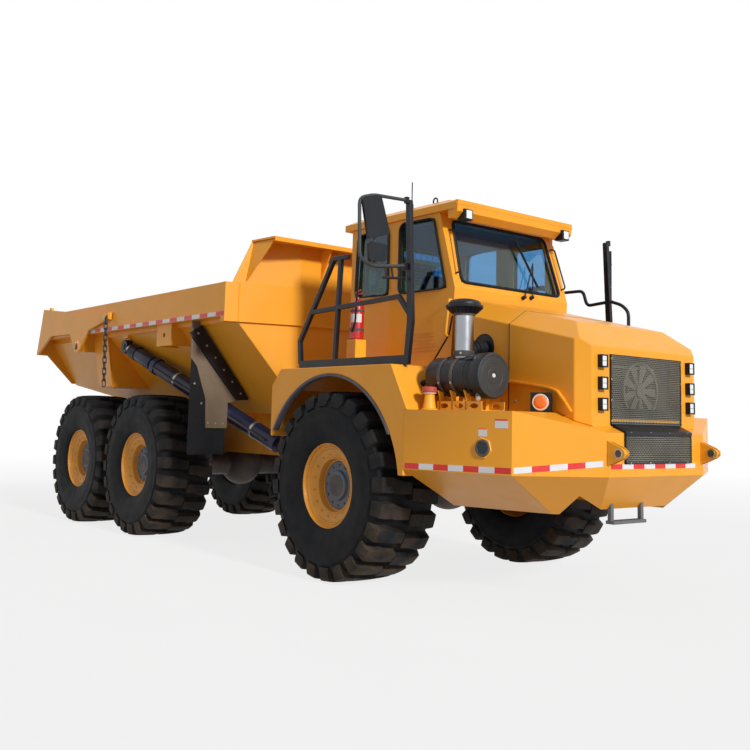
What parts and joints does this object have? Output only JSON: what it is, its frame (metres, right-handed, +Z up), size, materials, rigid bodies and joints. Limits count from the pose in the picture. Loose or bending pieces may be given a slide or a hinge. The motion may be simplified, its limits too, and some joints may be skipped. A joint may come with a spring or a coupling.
{
  "type": "articulated dump truck",
  "caption": "Articulated six-wheel dump truck: a cab and engine unit hinged to a tandem-axle rear unit with a tipping body and a chain-held tailgate.",
  "frame": {"origin": "on the ground under the middle of the truck's length and width", "axes": "+X forward, +Y to the driver's left, +Z up"},
  "size_m": [10.9992, 4.256, 4.11],
  "materials": {
    "body_paint": "satin yellow-orange paint",
    "black_paint": "satin black paint",
    "chassis_paint": "dusty yellow-orange paint",
    "tyre": "dusty black tyre",
    "rim_paint": "satin yellow-orange paint",
    "glass": "tinted cab glass",
    "lamp": "clear lamp lenses in black housings",
    "black_plastic": "fine-grained black plastic",
    "steel": "brushed steel",
    "chrome": "polished rod",
    "iron": "painted cast iron",
    "seat_fabric": "black seat cloth",
    "rubber": "black rubber flap",
    "red_paint": "glossy red paint"
  },
  "bodies": {
    "front": {"front_frame": "chassis_paint", "front_axle": "iron", "engine_block": "iron", "radiator": "iron", "bumper": "body_paint", "bumper_grille": "black_paint", "front_step": "steel", "fender_right": "body_paint", "fender_left": "body_paint", "arch_flares": "rubber", "cab_shell": "body_paint", "cab_roof": "body_paint", "cab_glass": "glass", "cab_seat": "seat_fabric", "roof_lamps": "lamp", "antenna": "black_plastic", "air_cleaner": "black_plastic", "intake_stack": "steel", "fillers": "red_paint", "side_markers": "black_plastic", "handrail_right": "black_paint", "handrail_left": "black_paint", "mirrors": "black_plastic"},
    "hood": {"hood": "body_paint", "hood_grille": "black_paint", "headlamps": "lamp"},
    "cab_door": {"cab_door": "body_paint", "door_glass": "glass"},
    "hitch": {"hitch": "chassis_paint"},
    "rear": {"rear_frame": "chassis_paint", "mid_axle": "iron", "rear_axle": "iron", "bogie_beams": "chassis_paint"},
    "dump_body": {"dump_body": "body_paint", "stone_guards": "rubber"},
    "tailgate": {"tailgate": "body_paint", "gate_chains": "iron"},
    "wheel_front_right": {"tyre_front_right": "tyre", "rim_front_right": "rim_paint"},
    "wheel_front_left": {"tyre_front_left": "tyre", "rim_front_left": "rim_paint"},
    "wheel_mid_right": {"tyre_mid_right": "tyre", "rim_mid_right": "rim_paint"},
    "wheel_mid_left": {"tyre_mid_left": "tyre", "rim_mid_left": "rim_paint"},
    "wheel_rear_right": {"tyre_rear_right": "tyre", "rim_rear_right": "rim_paint"},
    "wheel_rear_left": {"tyre_rear_left": "tyre", "rim_rear_left": "rim_paint"},
    "hoist_barrel_right": {"hoist_barrel_right": "black_paint"},
    "hoist_rod_right": {"hoist_rod_right": "chrome"},
    "hoist_barrel_left": {"hoist_barrel_left": "black_paint"},
    "hoist_rod_left": {"hoist_rod_left": "chrome"},
    "steering_barrel_right": {"steering_barrel_right": "black_paint"},
    "steering_rod_right": {"steering_rod_right": "chrome"},
    "steering_barrel_left": {"steering_barrel_left": "black_paint"},
    "steering_rod_left": {"steering_rod_left": "chrome"}
  },
  "joints": [
    {"name": "steer", "type": "hinge", "parent": "front", "child": "hitch", "pos_m": [1.35, 0, 1.07], "axis": [0, 0, 1], "range_deg": [-45, 45]},
    {"name": "oscillation", "type": "hinge", "parent": "hitch", "child": "rear", "pos_m": [0.5, 0, 1.07], "axis": [-1, 0, 0], "range_deg": [-20, 20]},
    {"name": "tip", "type": "hinge", "parent": "rear", "child": "dump_body", "pos_m": [-4.25, 0, 1.56], "axis": [0, -1, 0], "range_deg": [0, 70]},
    {"name": "tailgate_swing", "type": "hinge", "parent": "dump_body", "child": "tailgate", "pos_m": [-3.71, 0, 2.58], "axis": [0, -1, 0], "range_deg": [-70, 0]},
    {"name": "hood_open", "type": "hinge", "parent": "front", "child": "hood", "pos_m": [3.64, 0, 2.79], "axis": [0, -1, 0], "range_deg": [0, 55]},
    {"name": "door_open", "type": "hinge", "parent": "front", "child": "cab_door", "pos_m": [2.754, 0.868, 2.18], "axis": [0, 0, 1], "range_deg": [0, 70]},
    {"name": "wheel_front_right_spin", "type": "hinge", "parent": "front", "child": "wheel_front_right", "pos_m": [2.65, -1.33, 0.92988], "axis": [0, 1, 0], "continuous": true},
    {"name": "wheel_front_left_spin", "type": "hinge", "parent": "front", "child": "wheel_front_left", "pos_m": [2.65, 1.33, 0.92988], "axis": [0, 1, 0], "continuous": true},
    {"name": "wheel_mid_right_spin", "type": "hinge", "parent": "rear", "child": "wheel_mid_right", "pos_m": [-1.66, -1.33, 0.92988], "axis": [0, 1, 0], "continuous": true},
    {"name": "wheel_mid_left_spin", "type": "hinge", "parent": "rear", "child": "wheel_mid_left", "pos_m": [-1.66, 1.33, 0.92988], "axis": [0, 1, 0], "continuous": true},
    {"name": "wheel_rear_right_spin", "type": "hinge", "parent": "rear", "child": "wheel_rear_right", "pos_m": [-3.55, -1.33, 0.92988], "axis": [0, 1, 0], "continuous": true},
    {"name": "wheel_rear_left_spin", "type": "hinge", "parent": "rear", "child": "wheel_rear_left", "pos_m": [-3.55, 1.33, 0.92988], "axis": [0, 1, 0], "continuous": true},
    {"name": "hoist_right_swing", "type": "hinge", "parent": "rear", "child": "hoist_barrel_right", "pos_m": [0.6, -0.76, 1.21], "axis": [-0.4337, 0.2257, -0.8723], "range_deg": [0, 5.13]},
    {"name": "hoist_right_slide", "type": "slide", "parent": "hoist_barrel_right", "child": "hoist_rod_right", "axis": [-0.8959, -0.2115, 0.3907], "range_m": [0, 2.31831]},
    {"name": "hoist_left_swing", "type": "hinge", "parent": "rear", "child": "hoist_barrel_left", "pos_m": [0.6, 0.76, 1.21], "axis": [0.4337, 0.2257, 0.8723], "range_deg": [0, 5.13]},
    {"name": "hoist_left_slide", "type": "slide", "parent": "hoist_barrel_left", "child": "hoist_rod_left", "axis": [-0.8959, 0.2115, 0.3907], "range_m": [0, 2.31831]},
    {"name": "steering_right_swing", "type": "hinge", "parent": "front", "child": "steering_barrel_right", "pos_m": [2.52, -0.64, 1.41], "axis": [0, 0, 1], "range_deg": [-5.72, 5.72]},
    {"name": "steering_right_slide", "type": "slide", "parent": "steering_barrel_right", "child": "steering_rod_right", "axis": [-0.989, 0.148, 0], "range_m": [-0.33825, 0.33825]},
    {"name": "steering_left_swing", "type": "hinge", "parent": "front", "child": "steering_barrel_left", "pos_m": [2.52, 0.64, 1.41], "axis": [0, 0, 1], "range_deg": [-5.72, 5.72]},
    {"name": "steering_left_slide", "type": "slide", "parent": "steering_barrel_left", "child": "steering_rod_left", "axis": [-0.989, -0.148, 0], "range_m": [-0.33825, 0.33825]}
  ],
  "couplings": [
    {"joint": "tailgate_swing", "follows": "tip", "ratio": -1},
    {"joint": "hoist_right_swing", "follows": "tip", "ratio": 0.073107},
    {"joint": "hoist_right_slide", "follows": "tip", "m_per_rad": 1.8972},
    {"joint": "hoist_left_swing", "follows": "tip", "ratio": 0.073107},
    {"joint": "hoist_left_slide", "follows": "tip", "m_per_rad": 1.8972},
    {"joint": "steering_right_swing", "follows": "steer", "ratio": 0.12686},
    {"joint": "steering_right_slide", "follows": "steer", "m_per_rad": -0.43003},
    {"joint": "steering_left_swing", "follows": "steer", "ratio": 0.12686},
    {"joint": "steering_left_slide", "follows": "steer", "m_per_rad": 0.43003}
  ]
}
